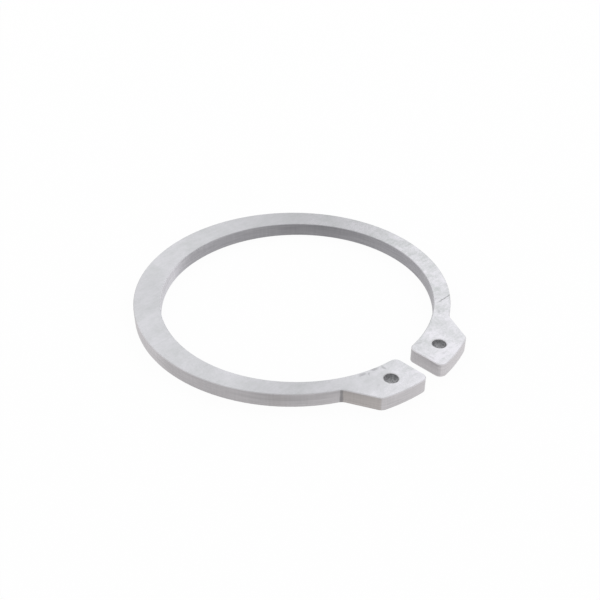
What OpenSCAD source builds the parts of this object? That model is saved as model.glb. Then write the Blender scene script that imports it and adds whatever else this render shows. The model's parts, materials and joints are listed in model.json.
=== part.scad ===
// External retaining ring (circlip) for a shaft groove, blanked from flat spring steel.
// It lies flat on z = 0 with its gap towards -Y, and the origin is the centre of its inner circle.
// The outer circle is eccentric, so the band is widest at the back and narrows towards the lugs.

/* [Band] */
// Inner diameter of the relaxed ring
inner_d = 55.8; // [46:0.1:66]
// Thickness of the strip
thickness = 3; // [1.5:0.1:5]
// Width of the band opposite the gap
back_width = 5.95; // [4.5:0.05:7.5]
// Width that the band would narrow to at the middle of the gap
front_width = 3.1; // [2:0.05:4.2]
// Leg of the small 45 degree break on every edge
edge_break = 0.15; // [0.05:0.01:0.3]

/* [Lugs] */
// Width of the gap between the two lugs
gap_width = 3.9; // [2:0.1:7]
// Radial height of a lug, from the inner circle to its outer arc
lug_height = 7.9; // [6.8:0.1:10]
// Angle from the middle of the gap to the shoulder, where a lug's outer arc meets its flank
shoulder_angle = 20.1; // [17:0.1:24]
// Lean of a lug's flank from the ring's centre line
flank_angle = 26.24; // [15:0.02:34]

/* [Rounds] */
// Radius of the corners at both ends of the gap
gap_corner_r = 1.4; // [0.7:0.05:2.2]
// Radius of the shoulder
shoulder_r = 1.9; // [0.7:0.05:4]
// Radius of the hollow where a flank runs into the band
hollow_r = 2.05; // [0.7:0.05:4]

/* [Plier holes] */
// Diameter of the hole through each lug
hole_d = 2.7; // [1.6:0.1:3.6]
// Distance from the face of the gap to the hole's centre
hole_inset = 5.1; // [3.9:0.1:6.5]

/* [Hidden] */
$fn = 240;

// How far a cut runs past each face
overrun = edge_break;
// A round is this much fuller than a tangent one, so that it meets its neighbours at a clean crossing
fullness = 0.001;
// How far the filled corner of a hollow reaches into the metal behind its wall, as a share of its radius
backing = 0.3;

inner_r = inner_d / 2;
outer_r = inner_r + (back_width + front_width) / 2;
lug_r = inner_r + lug_height;
// The centre of the band's outer circle lies behind the origin
band_centre = [0, (back_width - front_width) / 2];
// The blank of the lugs ends here, inside the band
lug_root_y = -inner_r / 2;
// In a frame turned by the flank angle, the left flank is the line x = flank_x
flank_x = -lug_r * sin(shoulder_angle + flank_angle);

// Centres of the left lug's rounds and hole, each from the two walls that it touches
shoulder = turned(on_circle([0, 0], lug_r - shoulder_r, flank_x + shoulder_r), flank_angle);
hollow = turned(on_circle(turned(band_centre, -flank_angle), outer_r + hollow_r, flank_x - hollow_r), flank_angle);
outer_corner = on_circle([0, 0], lug_r - gap_corner_r, -gap_width / 2 - gap_corner_r);
inner_corner = on_circle([0, 0], inner_r + gap_corner_r, -gap_width / 2 - gap_corner_r);
plier_hole = on_circle([0, 0], inner_r + lug_height / 2, -gap_width / 2 - hole_inset);

// The front point of a circle at a given x
function on_circle(centre, r, x) = [x, centre.y - sqrt(r * r - (x - centre.x) * (x - centre.x))];
function turned(v, a) = [v.x * cos(a) - v.y * sin(a), v.x * sin(a) + v.y * cos(a)];
function heading(v) = atan2(v.y, v.x);
// The shorter turn from one heading to another, positive when it is anticlockwise
function turn(from, to) = let (a = (to - from) % 360) a > 180 ? a - 360 : a < -180 ? a + 360 : a;

// Half section of solid metal out to a wall at x, with both of the wall's edges broken
module metal_section(x) {
    polygon([
        [0, 0], [x - edge_break, 0], [x, edge_break],
        [x, thickness - edge_break], [x - edge_break, thickness], [0, thickness]
    ]);
}

// Half section of a cut from near out to a wall at x, flared to break the edges that it leaves
module cut_section(x, near = 0) {
    flare = edge_break + overrun;
    polygon([
        [near, -overrun], [x + flare, -overrun], [x, edge_break],
        [x, thickness - edge_break], [x + flare, thickness + overrun], [near, thickness + overrun]
    ]);
}

module metal_disc(r) {
    rotate_extrude() metal_section(r);
}

module round_cut(r) {
    rotate_extrude() cut_section(r);
}

// Takes a corner back to a round of radius r about the origin, between two headings
module corner_cut(r, from, to) {
    sweep = turn(from, to);
    reach = r / cos(sweep / 2) + edge_break;
    rotate_extrude(angle = abs(sweep), start = min(from, from + sweep))
        mirror([1, 0]) cut_section(-r - fullness, -reach);
}

// Fills a corner up to a hollow of radius r about the origin, between two headings
module corner_fill(r, from, to) {
    sweep = turn(from, to);
    reach = r * (1 + backing);
    rotate_extrude(angle = abs(sweep), start = min(from, from + sweep))
        translate([reach, 0]) mirror([1, 0]) metal_section(reach - r - fullness);
}

module both_sides() {
    children();
    mirror([1, 0, 0]) children();
}

module band() {
    translate(band_centre) metal_disc(outer_r);
}

// Cuts away everything outside the left flank
module flank_cut() {
    reach = 2 * lug_r;
    rotate(flank_angle) translate([flank_x - reach, reach / 2, 0])
        rotate([90, 0, 0]) linear_extrude(reach) cut_section(reach);
}

// Both lugs in one piece: the front of a disc, between the two flanks
module lug_blank() {
    difference() {
        metal_disc(lug_r);
        both_sides() flank_cut();
        translate([-lug_r, lug_root_y, -overrun]) cube([2 * lug_r, 2 * lug_r, thickness + 2 * overrun]);
    }
}

module gap_cut() {
    rotate([90, 0, 0]) linear_extrude(lug_r + overrun) both_sides() cut_section(gap_width / 2);
}

module left_hollow() {
    translate(hollow) corner_fill(hollow_r, flank_angle, heading(band_centre - hollow));
}

module left_rounds() {
    translate(shoulder) corner_cut(shoulder_r, flank_angle + 180, heading(shoulder));
    translate(outer_corner) corner_cut(gap_corner_r, 0, heading(outer_corner));
    translate(inner_corner) corner_cut(gap_corner_r, 0, heading(-inner_corner));
}

module left_plier_hole() {
    translate(plier_hole) round_cut(hole_d / 2);
}

module retaining_ring() {
    color("silver") difference() {
        union() {
            band();
            lug_blank();
            both_sides() left_hollow();
        }
        round_cut(inner_r);
        gap_cut();
        both_sides() {
            left_rounds();
            left_plier_hole();
        }
    }
}

retaining_ring();
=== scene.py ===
import json
from math import cos, radians, sin

import bpy
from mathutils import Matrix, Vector


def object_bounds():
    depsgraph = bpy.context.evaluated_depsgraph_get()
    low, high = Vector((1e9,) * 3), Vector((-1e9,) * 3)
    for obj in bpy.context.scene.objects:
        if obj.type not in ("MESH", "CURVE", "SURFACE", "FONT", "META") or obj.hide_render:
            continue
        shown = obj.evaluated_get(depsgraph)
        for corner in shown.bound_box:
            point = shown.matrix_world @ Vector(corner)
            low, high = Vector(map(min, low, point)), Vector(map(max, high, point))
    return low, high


mm = 0.001   # Blender takes metres

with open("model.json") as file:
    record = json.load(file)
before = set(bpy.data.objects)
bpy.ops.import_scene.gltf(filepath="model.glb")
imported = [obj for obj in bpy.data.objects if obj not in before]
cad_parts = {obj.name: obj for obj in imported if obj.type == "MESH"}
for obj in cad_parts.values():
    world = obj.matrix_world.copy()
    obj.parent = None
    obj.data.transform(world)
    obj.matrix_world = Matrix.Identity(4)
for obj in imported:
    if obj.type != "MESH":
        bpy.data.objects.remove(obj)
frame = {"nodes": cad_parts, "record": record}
cadLow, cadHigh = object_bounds()
thickness = cadHigh.z - cadLow.z   # the ring lies flat
print("frame loaded:", ", ".join(frame["nodes"]))


def hexColour(code):
    # An sRGB hex value as the linear RGBA that the nodes take, by the curve of the sRGB standard
    parts = [int(code[i:i + 2], 16) / 255 for i in (1, 3, 5)]
    return [part / 12.92 if part <= 0.04045 else ((part + 0.055) / 1.055) ** 2.4 for part in parts] + [1]


def addNode(tree, kind, inputs=(), **settings):
    # Inputs are a list in the node's own order, or a dictionary by name. Each one is a number, a hex
    # colour, a socket, or a node, which stands for its first output
    node = tree.nodes.new("ShaderNode" + kind)
    for name, value in settings.items():
        setattr(node, name, value)
    if isinstance(inputs, dict):
        pairs = [(node.inputs[name], value) for name, value in inputs.items()]
    else:
        pairs = zip([socket for socket in node.inputs if socket.enabled], inputs)
    for socket, value in pairs:
        if isinstance(value, bpy.types.Node):
            value = next(output for output in value.outputs if output.enabled)
        if isinstance(value, bpy.types.NodeSocket):
            tree.links.new(value, socket)
        else:
            socket.default_value = hexColour(value) if isinstance(value, str) else value
    return node


def newMaterial(name):
    material = bpy.data.materials.new(name)
    material.use_nodes = True
    material.node_tree.nodes.clear()
    return material, material.node_tree


# Spring steel: cold rolled strip, blanked and then tumbled in a barrel. Its faces are a soft pale satin
# with cloudy stains, faint rolling lines and broad patches of painted shade, its edges are rubbed pale and
# matte with a painted highlight, and its sheared walls are darker and drawn along the thickness. The inner
# wall is painted darker as painted shade, and the walls are painted paler towards the back left and on the
# lugs as painted light
ring = {
    "node": "retaining_ring",
    "slot": "spring_steel",

    # Each finish runs from a dull colour to a pale one
    "faceDull": "#adafb0",
    "facePale": "#c3c2c7",
    "wallDull": "#a4a2a4",
    "wallPale": "#b7b4b6",
    "innerShadedDull": "#848387",   # the inner wall is painted darker than the outer one, as painted shade
    "innerShadedPale": "#99989b",
    "holeShadeTop": "#98989a",    # the torn walls of the plier holes, painted dark under the rim as painted shade and paler with depth as painted light
    "holeLightDeep": "#d4d4d6",
    "flankTint": "#fffcf7",   # the flanks of the lugs are a little warmer

    # How many times paler the outer and the inner wall are painted where their painted light is strongest,
    # and the gap's faces
    "wallLightGain": 1.3,
    "innerLightGain": 2.26,
    "gapLightGain": 1.09,
    "paintedLightCurve": 5.7,       # how suddenly the painted light turns the walls pale towards the back left
    "sideTurn": (0.7, 0.8),   # a lug's wall that looks this far sideways gets less of the arcs' painted light, and then none

    "faceRoughness": 0.26,
    "dullRoughness": 0.33,    # the stains are less smooth than the clean face
    "wallRoughness": 0.45,
    "edgeRoughness": 0.55,
    "holeRoughness": 0.8,
    "bumpDepth": 0.05 * mm,
    "bumpStrength": 0.15,

    "edgeBreak": 0.15 * mm,     # as wide as in the CAD
    "edgeFade": (0.02, 0.15),   # where a broken edge's finish starts and is full, as shares of its width
    "rimFade": 0.02 * mm,       # how softly the face gives way to the wall of a plier hole

    # The upright line of painted shade in the corner of the hollow beside the right lug, and how far it
    # darkens the wall
    "hollowLine": (15.72 * mm, -26.98 * mm),
    "hollowWidth": 0.15 * mm,
    "hollowFade": 0.3 * mm,
    "hollowShade": 0.47,

    # Noise, with its size along each axis in mm and how strongly it shows. The grain, the rolling lines and
    # the shear marks are finer on a real ring, and are drawn as coarse as they need to be to show
    "patterns": {
        "clouds": {"size": (5.2, 4, 4), "detail": 3, "roughness": 0.6, "seed": 3, "weight": 2},
        "mottle": {"size": (1.6, 1, 1), "detail": 2, "roughness": 0.6, "seed": 7, "weight": 1.4},
        "grain": {"size": (0.42, 0.42, 0.42), "detail": 2, "roughness": 0.5, "seed": 0, "weight": 1},
        "rollingLines": {"size": (8, 0.4, 4), "detail": 2, "roughness": 0.5, "seed": 0, "weight": 0.4},
        "shearMarks": {"size": (0.3, 0.3, 6), "detail": 2, "roughness": 0.5, "seed": 0, "weight": 0.7},
        "shearLayers": {"size": (6, 6, 0.3), "detail": 2, "roughness": 0.5, "seed": 0, "weight": 1.6},
        "tornPits": {"size": (0.42, 0.42, 0.42), "detail": 2, "roughness": 0.5, "seed": 0, "weight": 2},
    },

    # Slow changes over the ring or through it, from one value to another. A fade starts and stops where the
    # dot product of a point and its direction is so many mm
    "fades": {
        "staining": {"direction": (1.6, -1, 0), "start": 10, "stop": 45, "values": (0.5, 1.25)},
        "paintedLightLugs": {"direction": (0, -1, 0), "start": 27, "stop": 34, "values": (0.5, 0.8)},
        # Painted light on the walls: palest at the back left, and on the lugs' arcs towards the front right
        "paintedLightMost": {"direction": (-1, 1, 0), "start": 10, "stop": 37.4, "values": (0, 1)},
        "paintedLightBackLeft": {"direction": (-1, 1, 0), "start": 2, "stop": 32, "values": (0, 0.34)},
        "paintedLightFrontRight": {"direction": (1, -1, 0), "start": 12, "stop": 40, "values": (0, 0.3)},
        "arcLightGain": {"direction": (1, -1, 0), "start": 0, "stop": 45, "values": (1.1, 1.4)},
        "byLugs": {"direction": (0, -1, 0), "start": 18, "stop": 22.5, "values": (0, 1)},
        "besideGap": {"direction": (1, 0, 0), "start": 3, "stop": 6, "values": (0, 1)},
        "edgeWearAndHighlight": {"direction": (0, 1, 0), "start": 12, "stop": 24, "values": (1.17, 1.02)},
        "holeDepth": {"direction": (0, 0, -1), "start": -3, "stop": -1, "values": (0, 1)},
    },

    # Stains and scratches on the upper face, and broad patches of painted shade, in mm and degrees, and how
    # far they darken it
    "marks": {
        # The first four are broad patches of painted shade on the upper face
        "paintedShadeFront": {"x": -20.8, "y": -22.3, "turn": -43, "length": 26, "width": 12, "dark": 0.1},
        "paintedShadeBack": {"x": 26.9, "y": 14.6, "turn": 118, "length": 42, "width": 22, "dark": 0.07},
        "paintedShadeLeft": {"x": -21.7, "y": 21.7, "turn": 45, "length": 20, "width": 12, "dark": 0.055},
        "paintedShadeLug": {"x": -9.8, "y": -29.8, "turn": 0, "length": 9, "width": 9, "dark": 0.04},
        "scratch": {"x": 19.8, "y": -22.7, "turn": 0, "length": 5.6, "width": 0.3, "dark": 0.55},
        "scratchNickA": {"x": 18.3, "y": -21.6, "turn": 30, "length": 1.2, "width": 0.5, "dark": 0.16},
        "scratchNickB": {"x": 15.3, "y": -24.7, "turn": 50, "length": 1.8, "width": 0.7, "dark": 0.16},
        "edgeStain": {"x": 24, "y": -19.9, "turn": 40, "length": 2.2, "width": 0.9, "dark": 0.1},
        "smudgeA": {"x": -10, "y": -26.8, "turn": -10, "length": 2.2, "width": 0.9, "dark": 0.26},
        "smudgeB": {"x": -9, "y": -27.5, "turn": 40, "length": 1.4, "width": 0.5, "dark": 0.24},
        "smudgeC": {"x": -7.4, "y": -27.3, "turn": -20, "length": 2.1, "width": 0.9, "dark": 0.3},
        "smudgeD": {"x": -5.8, "y": -28.2, "turn": 75, "length": 1.7, "width": 0.7, "dark": 0.26},
        "spot": {"x": -10.1, "y": -30.8, "turn": 0, "length": 1.1, "width": 0.6, "dark": 0.14},
        "lugStainA": {"x": 10.2, "y": -29.5, "turn": 20, "length": 2.2, "width": 1.4, "dark": 0.07},
        "lugStainB": {"x": 4.3, "y": -28.2, "turn": -10, "length": 2.2, "width": 0.7, "dark": 0.1},
        "lugStainC": {"x": 2.7, "y": -32.6, "turn": 80, "length": 2, "width": 0.7, "dark": 0.12},
        "lugStainD": {"x": 5.5, "y": -33.3, "turn": 10, "length": 1.2, "width": 0.8, "dark": 0.1},
    },
    "markFade": (1.1, 0.3),   # where a mark starts and is full, as shares of its half length and half width
    "markWander": 0.6 * mm,   # how far the marks' outlines wander, over what length and how finely
    "markRipple": 0.8 * mm,
    "markDetail": 2,
}


def addPatterns(tree, point, total, *names):
    # A starting value plus each pattern, which runs about 0, times its weight
    for name in names:
        pattern = ring["patterns"][name]
        scaled = addNode(tree, "VectorMath", [point, [1 / (size * mm) for size in pattern["size"]]],
                         operation="MULTIPLY")
        noise = addNode(tree, "TexNoise", {
            "Vector": scaled,
            "W": pattern["seed"],
            "Scale": 1,
            "Detail": pattern["detail"],
            "Roughness": pattern["roughness"],
        }, noise_dimensions="4D")
        centred = addNode(tree, "Math", [noise, 0.5], operation="SUBTRACT")
        total = addNode(tree, "Math", [centred, pattern["weight"], total], operation="MULTIPLY_ADD")
    return total


def fadeOver(tree, point, name):
    fade = ring["fades"][name]
    place = addNode(tree, "VectorMath", [point, fade["direction"]], operation="DOT_PRODUCT")
    return addNode(tree, "MapRange", [place, fade["start"] * mm, fade["stop"] * mm, *fade["values"]])


def flatFaces(tree, point):
    # 1 on the two flat faces and 0 on every wall, with the broken edges between
    half = thickness / 2
    height = addNode(tree, "VectorMath", [point, (0, 0, 1)], operation="DOT_PRODUCT")
    height = addNode(tree, "Math", [height, half], operation="SUBTRACT")
    height = addNode(tree, "Math", [height], operation="ABSOLUTE")
    return addNode(tree, "MapRange", [height, half - ring["edgeBreak"], half])


def roundAxis(tree, point, centre, radius, fade):
    # 1 within a radius of an upright axis on the right, and of its mirror on the left
    mirrored = addNode(tree, "VectorMath", [point], operation="ABSOLUTE")
    parts = [addNode(tree, "SeparateXYZ", [place]) for place in (mirrored, point)]
    flat = addNode(tree, "CombineXYZ", [parts[0].outputs["X"], parts[1].outputs["Y"]])
    reach = addNode(tree, "VectorMath", [flat, (centre[0], centre[1], 0)], operation="DISTANCE")
    return addNode(tree, "MapRange", [reach, radius + fade, radius])


def ringZones(tree, point, record):
    # 1 inside each zone of the ring and 0 outside it. A broken edge is halfway from face to wall
    mounts = {mount["name"]: mount for mount in record["mounts"]}
    seat, hole = mounts["shaft_seat"], mounts["plier_hole_right"]
    seatRadius, holeRadius = [mount["dims"]["r_mm"] * mm for mount in (seat, hole)]
    edgeBreak, rimFade = ring["edgeBreak"], ring["rimFade"]
    face = flatFaces(tree, point)
    halfway = addNode(tree, "Math", [face, 0.5], operation="PINGPONG")
    return {
        "face": face,
        "edge": addNode(tree, "MapRange", [halfway, *ring["edgeFade"]]),
        "inner": roundAxis(tree, point, seat["pos_m"], seatRadius + edgeBreak, edgeBreak),
        "hole": roundAxis(tree, point, hole["pos_m"], holeRadius + rimFade, rimFade),
        "hollow": roundAxis(tree, point, ring["hollowLine"], ring["hollowWidth"], ring["hollowFade"]),
    }


def faceTone(tree, point):
    # 0 where a face is stained dull and 1 where it is rubbed pale. The stains are strongest on the right,
    # and the lugs' faces are painted paler as painted light
    stains = addPatterns(tree, point, 0, "clouds", "mottle", "grain")
    strength, middle = fadeOver(tree, point, "staining"), fadeOver(tree, point, "paintedLightLugs")
    tone = addNode(tree, "Math", [stains, strength, middle], operation="MULTIPLY_ADD")
    return addPatterns(tree, point, tone, "rollingLines")


def paintedWallLight(tree, point):
    # 1 at the back left, where the walls are painted palest as painted light, and 0 where they get none
    most = fadeOver(tree, point, "paintedLightMost")
    wallLight = addNode(tree, "Math", [most, ring["paintedLightCurve"]], operation="POWER")
    for name in ("paintedLightBackLeft", "paintedLightFrontRight"):
        wallLight = addNode(tree, "Math", [wallLight, fadeOver(tree, point, name)], operation="MAXIMUM")
    return wallLight


def lugWalls(tree, point, normal):
    # How many times paler the lugs' walls are painted than the band's, as painted light, and the tint of the
    # flanks. The flanks and the gap's two faces look sideways, and the arcs, which are painted palest, look
    # to the front
    sideways = addNode(tree, "VectorMath", [normal, (1, 0, 0)], operation="DOT_PRODUCT")
    sideways = addNode(tree, "Math", [sideways], operation="ABSOLUTE")
    onSide = addNode(tree, "MapRange", [sideways, *ring["sideTurn"]])
    mirrored = addNode(tree, "VectorMath", [point], operation="ABSOLUTE")
    byLugs, besideGap = fadeOver(tree, point, "byLugs"), fadeOver(tree, mirrored, "besideGap")

    gain = addNode(tree, "Mix", [besideGap, ring["gapLightGain"], 1])
    gain = addNode(tree, "Mix", [onSide, fadeOver(tree, point, "arcLightGain"), gain])
    gain = addNode(tree, "Mix", [byLugs, 1, gain])

    onFlank = addNode(tree, "Math", [onSide, byLugs], operation="MULTIPLY")
    onFlank = addNode(tree, "Math", [onFlank, besideGap], operation="MULTIPLY")
    tint = addNode(tree, "Mix", [onFlank, "#ffffff", ring["flankTint"]], data_type="RGBA")
    return gain, tint


def wallColours(tree, point, normal):
    # The colours of the outer and the inner wall, with painted light on both and painted shade on the inner
    # one
    drawn = addPatterns(tree, point, 0.5, "shearMarks", "shearLayers")
    wallLight = paintedWallLight(tree, point)
    lugWallLight, tint = lugWalls(tree, point, normal)

    # The outer wall is painted paler towards the back left and on the lugs as painted light
    gain = addNode(tree, "MapRange", [wallLight, 0, 1, 1, ring["wallLightGain"]])
    gain = addNode(tree, "Math", [gain, lugWallLight], operation="MULTIPLY")
    outer = addNode(tree, "Mix", [drawn, ring["wallDull"], ring["wallPale"]], data_type="RGBA")
    outer = addNode(tree, "VectorMath", [outer, gain], operation="SCALE")
    outer = addNode(tree, "VectorMath", [outer, tint], operation="MULTIPLY")

    # The inner wall: painted darker than the outer wall as painted shade, and paler towards the back left as
    # painted light
    gain = addNode(tree, "MapRange", [wallLight, 0, 1, 1, ring["innerLightGain"]])
    inner = addNode(tree, "Mix", [drawn, ring["innerShadedDull"], ring["innerShadedPale"]], data_type="RGBA")
    inner = addNode(tree, "VectorMath", [inner, gain], operation="SCALE")
    return outer, inner


def allMarks(tree, point):
    # How far the marks and the patches of painted shade darken each point of the upper face, with their
    # outlines made uneven
    ripple = addNode(tree, "TexNoise", {
        "Vector": point,
        "Scale": 1 / ring["markRipple"],
        "Detail": ring["markDetail"],
    })
    ripple = addNode(tree, "VectorMath", [ripple.outputs["Color"], (0.5, 0.5, 0.5)], operation="SUBTRACT")
    shift = addNode(tree, "VectorMath", [ripple, ring["markWander"]], operation="SCALE")
    place = addNode(tree, "VectorMath", [point, shift], operation="ADD")
    place = addNode(tree, "VectorMath", [place, (1, 1, 0)], operation="MULTIPLY")
    darkest = 0
    for mark in ring["marks"].values():
        local = addNode(tree, "Mapping", {
            "Vector": place,
            "Location": (mark["x"] * mm, mark["y"] * mm, 0),
            "Rotation": (0, 0, radians(mark["turn"])),
            "Scale": (mark["length"] * mm / 2, mark["width"] * mm / 2, 1),
        }, vector_type="TEXTURE")
        reach = addNode(tree, "VectorMath", [local], operation="LENGTH")
        soft = addNode(tree, "MapRange", [reach, *ring["markFade"], 0, mark["dark"]],
                       interpolation_type="SMOOTHSTEP")
        darkest = addNode(tree, "Math", [soft, darkest], operation="MAXIMUM")
    height = addNode(tree, "VectorMath", [point, (0, 0, 1)], operation="DOT_PRODUCT")
    upper = addNode(tree, "Math", [height, thickness / 2], operation="GREATER_THAN")
    return addNode(tree, "Math", [upper, darkest], operation="MULTIPLY")


def steelColour(tree, point, normal, zones, tone):
    # The walls first, with the faces, the broken edges and the holes laid over them. Then the painted shade
    # in the hollows' corners, and the marks and patches of painted shade on the upper face
    outer, inner = wallColours(tree, point, normal)
    face = addNode(tree, "Mix", [tone, ring["faceDull"], ring["facePale"]], data_type="RGBA")
    # The plier holes' walls: torn pits, with painted shade at the top and painted light from the floor
    # deeper down
    tornAndShadedHole = addPatterns(tree, point, fadeOver(tree, point, "holeDepth"), "tornPits")
    tornAndShadedHole = addNode(tree, "Mix", [tornAndShadedHole, ring["holeShadeTop"], ring["holeLightDeep"]], data_type="RGBA")

    colour = addNode(tree, "Mix", [zones["inner"], outer, inner], data_type="RGBA")
    colour = addNode(tree, "Mix", [zones["face"], colour, face], data_type="RGBA")
    # The broken edges are painted paler, partly as rubbed wear and partly as a painted highlight, more so
    # towards the front
    edgeWearAndHighlight = addNode(tree, "Mix", [zones["edge"], 1, fadeOver(tree, point, "edgeWearAndHighlight")])
    colour = addNode(tree, "VectorMath", [colour, edgeWearAndHighlight], operation="SCALE")
    colour = addNode(tree, "Mix", [zones["hole"], colour, tornAndShadedHole], data_type="RGBA")

    # Painted shade along the corner of each hollow
    wallHollowShade = addNode(tree, "MapRange", [zones["face"], 0, 1, ring["hollowShade"], 0])
    hollowShade = addNode(tree, "Math", [zones["hollow"], wallHollowShade], operation="MULTIPLY")
    shadeAndStains = addNode(tree, "Math", [hollowShade, allMarks(tree, point)], operation="MAXIMUM")
    undarkened = addNode(tree, "Math", [1, shadeAndStains], operation="SUBTRACT")
    return addNode(tree, "VectorMath", [colour, undarkened], operation="SCALE")


def steelRoughness(tree, zones, tone):
    satin = addNode(tree, "MapRange", [tone, 0, 1, ring["dullRoughness"], ring["faceRoughness"]])
    roughness = addNode(tree, "Mix", [zones["face"], ring["wallRoughness"], satin])
    roughness = addNode(tree, "Mix", [zones["edge"], roughness, ring["edgeRoughness"]])
    return addNode(tree, "Mix", [zones["hole"], roughness, ring["holeRoughness"]])


def steelBump(tree, point, zones):
    # Shear marks on the walls and grain on the faces
    walls, faces = [addPatterns(tree, point, 0, name) for name in ("shearMarks", "grain")]
    return addNode(tree, "Bump", {
        "Height": addNode(tree, "Mix", [zones["face"], walls, faces]),
        "Strength": ring["bumpStrength"],
        "Distance": ring["bumpDepth"],
    })


def springSteel(record):
    material, tree = newMaterial("tumbledSpringSteel")
    coordinates = addNode(tree, "TexCoord")
    point, normal = coordinates.outputs["Object"], coordinates.outputs["Normal"]
    zones, tone = ringZones(tree, point, record), faceTone(tree, point)
    shader = addNode(tree, "BsdfPrincipled", {
        "Base Color": steelColour(tree, point, normal, zones, tone),
        "Metallic": 1,
        "Roughness": steelRoughness(tree, zones, tone),
        "Normal": steelBump(tree, point, zones),
    })
    addNode(tree, "OutputMaterial", {"Surface": shader})
    return material


ringObject = frame["nodes"][ring["node"]]
ringObject.data.materials.clear()
ringObject.data.materials.append(springSteel(frame["record"]))
print("retaining ring finished")


# A pale floor and a white world. The camera, a gloss and a glass see the floor's own glow as well, so that
# it looks white, and the small rest keeps the ring's shadow
studio = {
    "floorSize": 4000 * mm,
    "floorColour": "#f6f6f6",
    "glowColour": "#ffffff",
    "glowShare": 0.95,
    "worldColour": "#ffffff",
    "worldLight": 0.85,
}


def seenWhite(tree):
    # 1 for the rays that show the background, and 0 for those that only light the scene
    path = addNode(tree, "LightPath")
    seen = path.outputs["Is Camera Ray"]
    for name in ("Is Glossy Ray", "Is Transmission Ray"):
        seen = addNode(tree, "Math", [seen, path.outputs[name]], operation="MAXIMUM")
    return seen


def paleWorld():
    world = bpy.data.worlds.new("paleWorld")
    world.use_nodes = True
    tree = world.node_tree
    tree.nodes.clear()
    strength = addNode(tree, "MapRange", [seenWhite(tree), 0, 1, studio["worldLight"], 1])
    background = addNode(tree, "Background", {"Color": studio["worldColour"], "Strength": strength})
    addNode(tree, "OutputWorld", {"Surface": background})
    return world


def paleFloor():
    bpy.ops.mesh.primitive_plane_add(size=studio["floorSize"])
    floor = bpy.context.object
    floor.name = "floor"
    material, tree = newMaterial("paleFloor")
    matte = addNode(tree, "BsdfDiffuse", {"Color": studio["floorColour"]})
    glow = addNode(tree, "Emission", {"Color": studio["glowColour"], "Strength": 1})
    share = addNode(tree, "Math", [seenWhite(tree), studio["glowShare"]], operation="MULTIPLY")
    surface = addNode(tree, "MixShader", [share, matte, glow])
    addNode(tree, "OutputMaterial", {"Surface": surface})
    floor.data.materials.append(material)
    floor.location.z = cadLow.z


bpy.context.scene.world = paleWorld()
paleFloor()
print("floor and world made")


# Two soft square panels behind the ring, weak enough that pale steel doesn't clip in them from any side.
# With the world they light a white floor about as bright as the background
lamps = {
    "rightPanel": {"azimuth": 100, "elevation": 32, "distance": 900 * mm, "size": 800 * mm, "power": 1.2},
    "leftPanel": {"azimuth": 175, "elevation": 33, "distance": 900 * mm, "size": 1000 * mm, "power": 1.23},
}


def towards(azimuth, elevation):
    # The direction from the ring to a place that many degrees round it and above the floor
    turn, rise = radians(azimuth), radians(elevation)
    return Vector((sin(turn) * cos(rise), -cos(turn) * cos(rise), sin(rise)))


def addLamp(name, lamp):
    data = bpy.data.lights.new(name, "AREA")
    data.shape = "SQUARE"
    data.size = lamp["size"]
    data.energy = lamp["power"]
    light = bpy.data.objects.new(name, data)
    direction = towards(lamp["azimuth"], lamp["elevation"])
    light.location = direction * lamp["distance"]
    light.rotation_euler = direction.to_track_quat("Z", "Y").to_euler()
    bpy.context.collection.objects.link(light)


for name, lamp in lamps.items():
    addLamp(name, lamp)
print("lamps made:", ", ".join(lamps))


# The photograph's view, with the gap at the right front
view = {
    "azimuth": -45,
    "elevation": 35.26,
    "distance": 173.1 * mm,
    "aimRight": 0.62 * mm,   # how far right of the ring's centre the camera aims, and above it
    "aimUp": 0.87 * mm,
    "lens": 50,              # lens and sensor are in mm, as the camera takes them
    "sensor": 36,
    "nearest": 10 * mm,
    "farthest": 10000 * mm,
}


def addCamera():
    data = bpy.data.cameras.new("camera")
    data.lens = view["lens"]
    data.sensor_width = view["sensor"]
    data.clip_start = view["nearest"]
    data.clip_end = view["farthest"]
    camera = bpy.data.objects.new("camera", data)
    back = towards(view["azimuth"], view["elevation"])
    turn = back.to_track_quat("Z", "Y")
    aim = turn @ Vector((view["aimRight"], view["aimUp"], 0))
    camera.location = aim + back * view["distance"]
    camera.rotation_euler = turn.to_euler()
    bpy.context.collection.objects.link(camera)
    bpy.context.scene.camera = camera


addCamera()
bpy.context.scene.view_settings.view_transform = "Standard"
print("camera placed")
